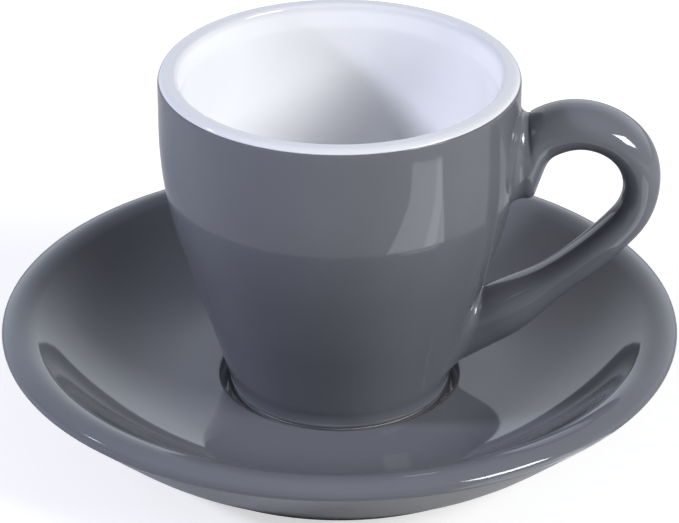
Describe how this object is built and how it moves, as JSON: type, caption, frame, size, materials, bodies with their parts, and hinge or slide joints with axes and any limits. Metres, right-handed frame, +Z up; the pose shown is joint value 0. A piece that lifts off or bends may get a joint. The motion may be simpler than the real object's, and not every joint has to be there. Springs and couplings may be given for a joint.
{
  "type": "espresso cup and saucer",
  "caption": "Espresso cup with a loop handle, grey outside and white inside, standing in the well of a matching flat-floored saucer.",
  "frame": {"origin": "centre of the saucer's foot ring, on the table", "axes": "+Z up along the common axis of cup and saucer, +X towards the handle"},
  "size_m": [0.117, 0.117, 0.0657],
  "materials": {
    "bisque": "unglazed fired clay, fine grained and matt",
    "grey_glaze": "glossy opaque slate-grey glaze",
    "white_glaze": "glossy white glaze"
  },
  "bodies": {
    "saucer": {"saucer_body": "bisque", "saucer_glaze": "grey_glaze"},
    "cup": {"cup_body": "bisque", "cup_liner_glaze": "white_glaze", "cup_outer_glaze": "grey_glaze", "handle": "bisque"}
  },
  "joints": [
    {"name": "cup_lift", "type": "slide", "parent": "saucer", "child": "cup", "axis": [0, 0, 1], "range_m": [0, 0.06]}
  ]
}
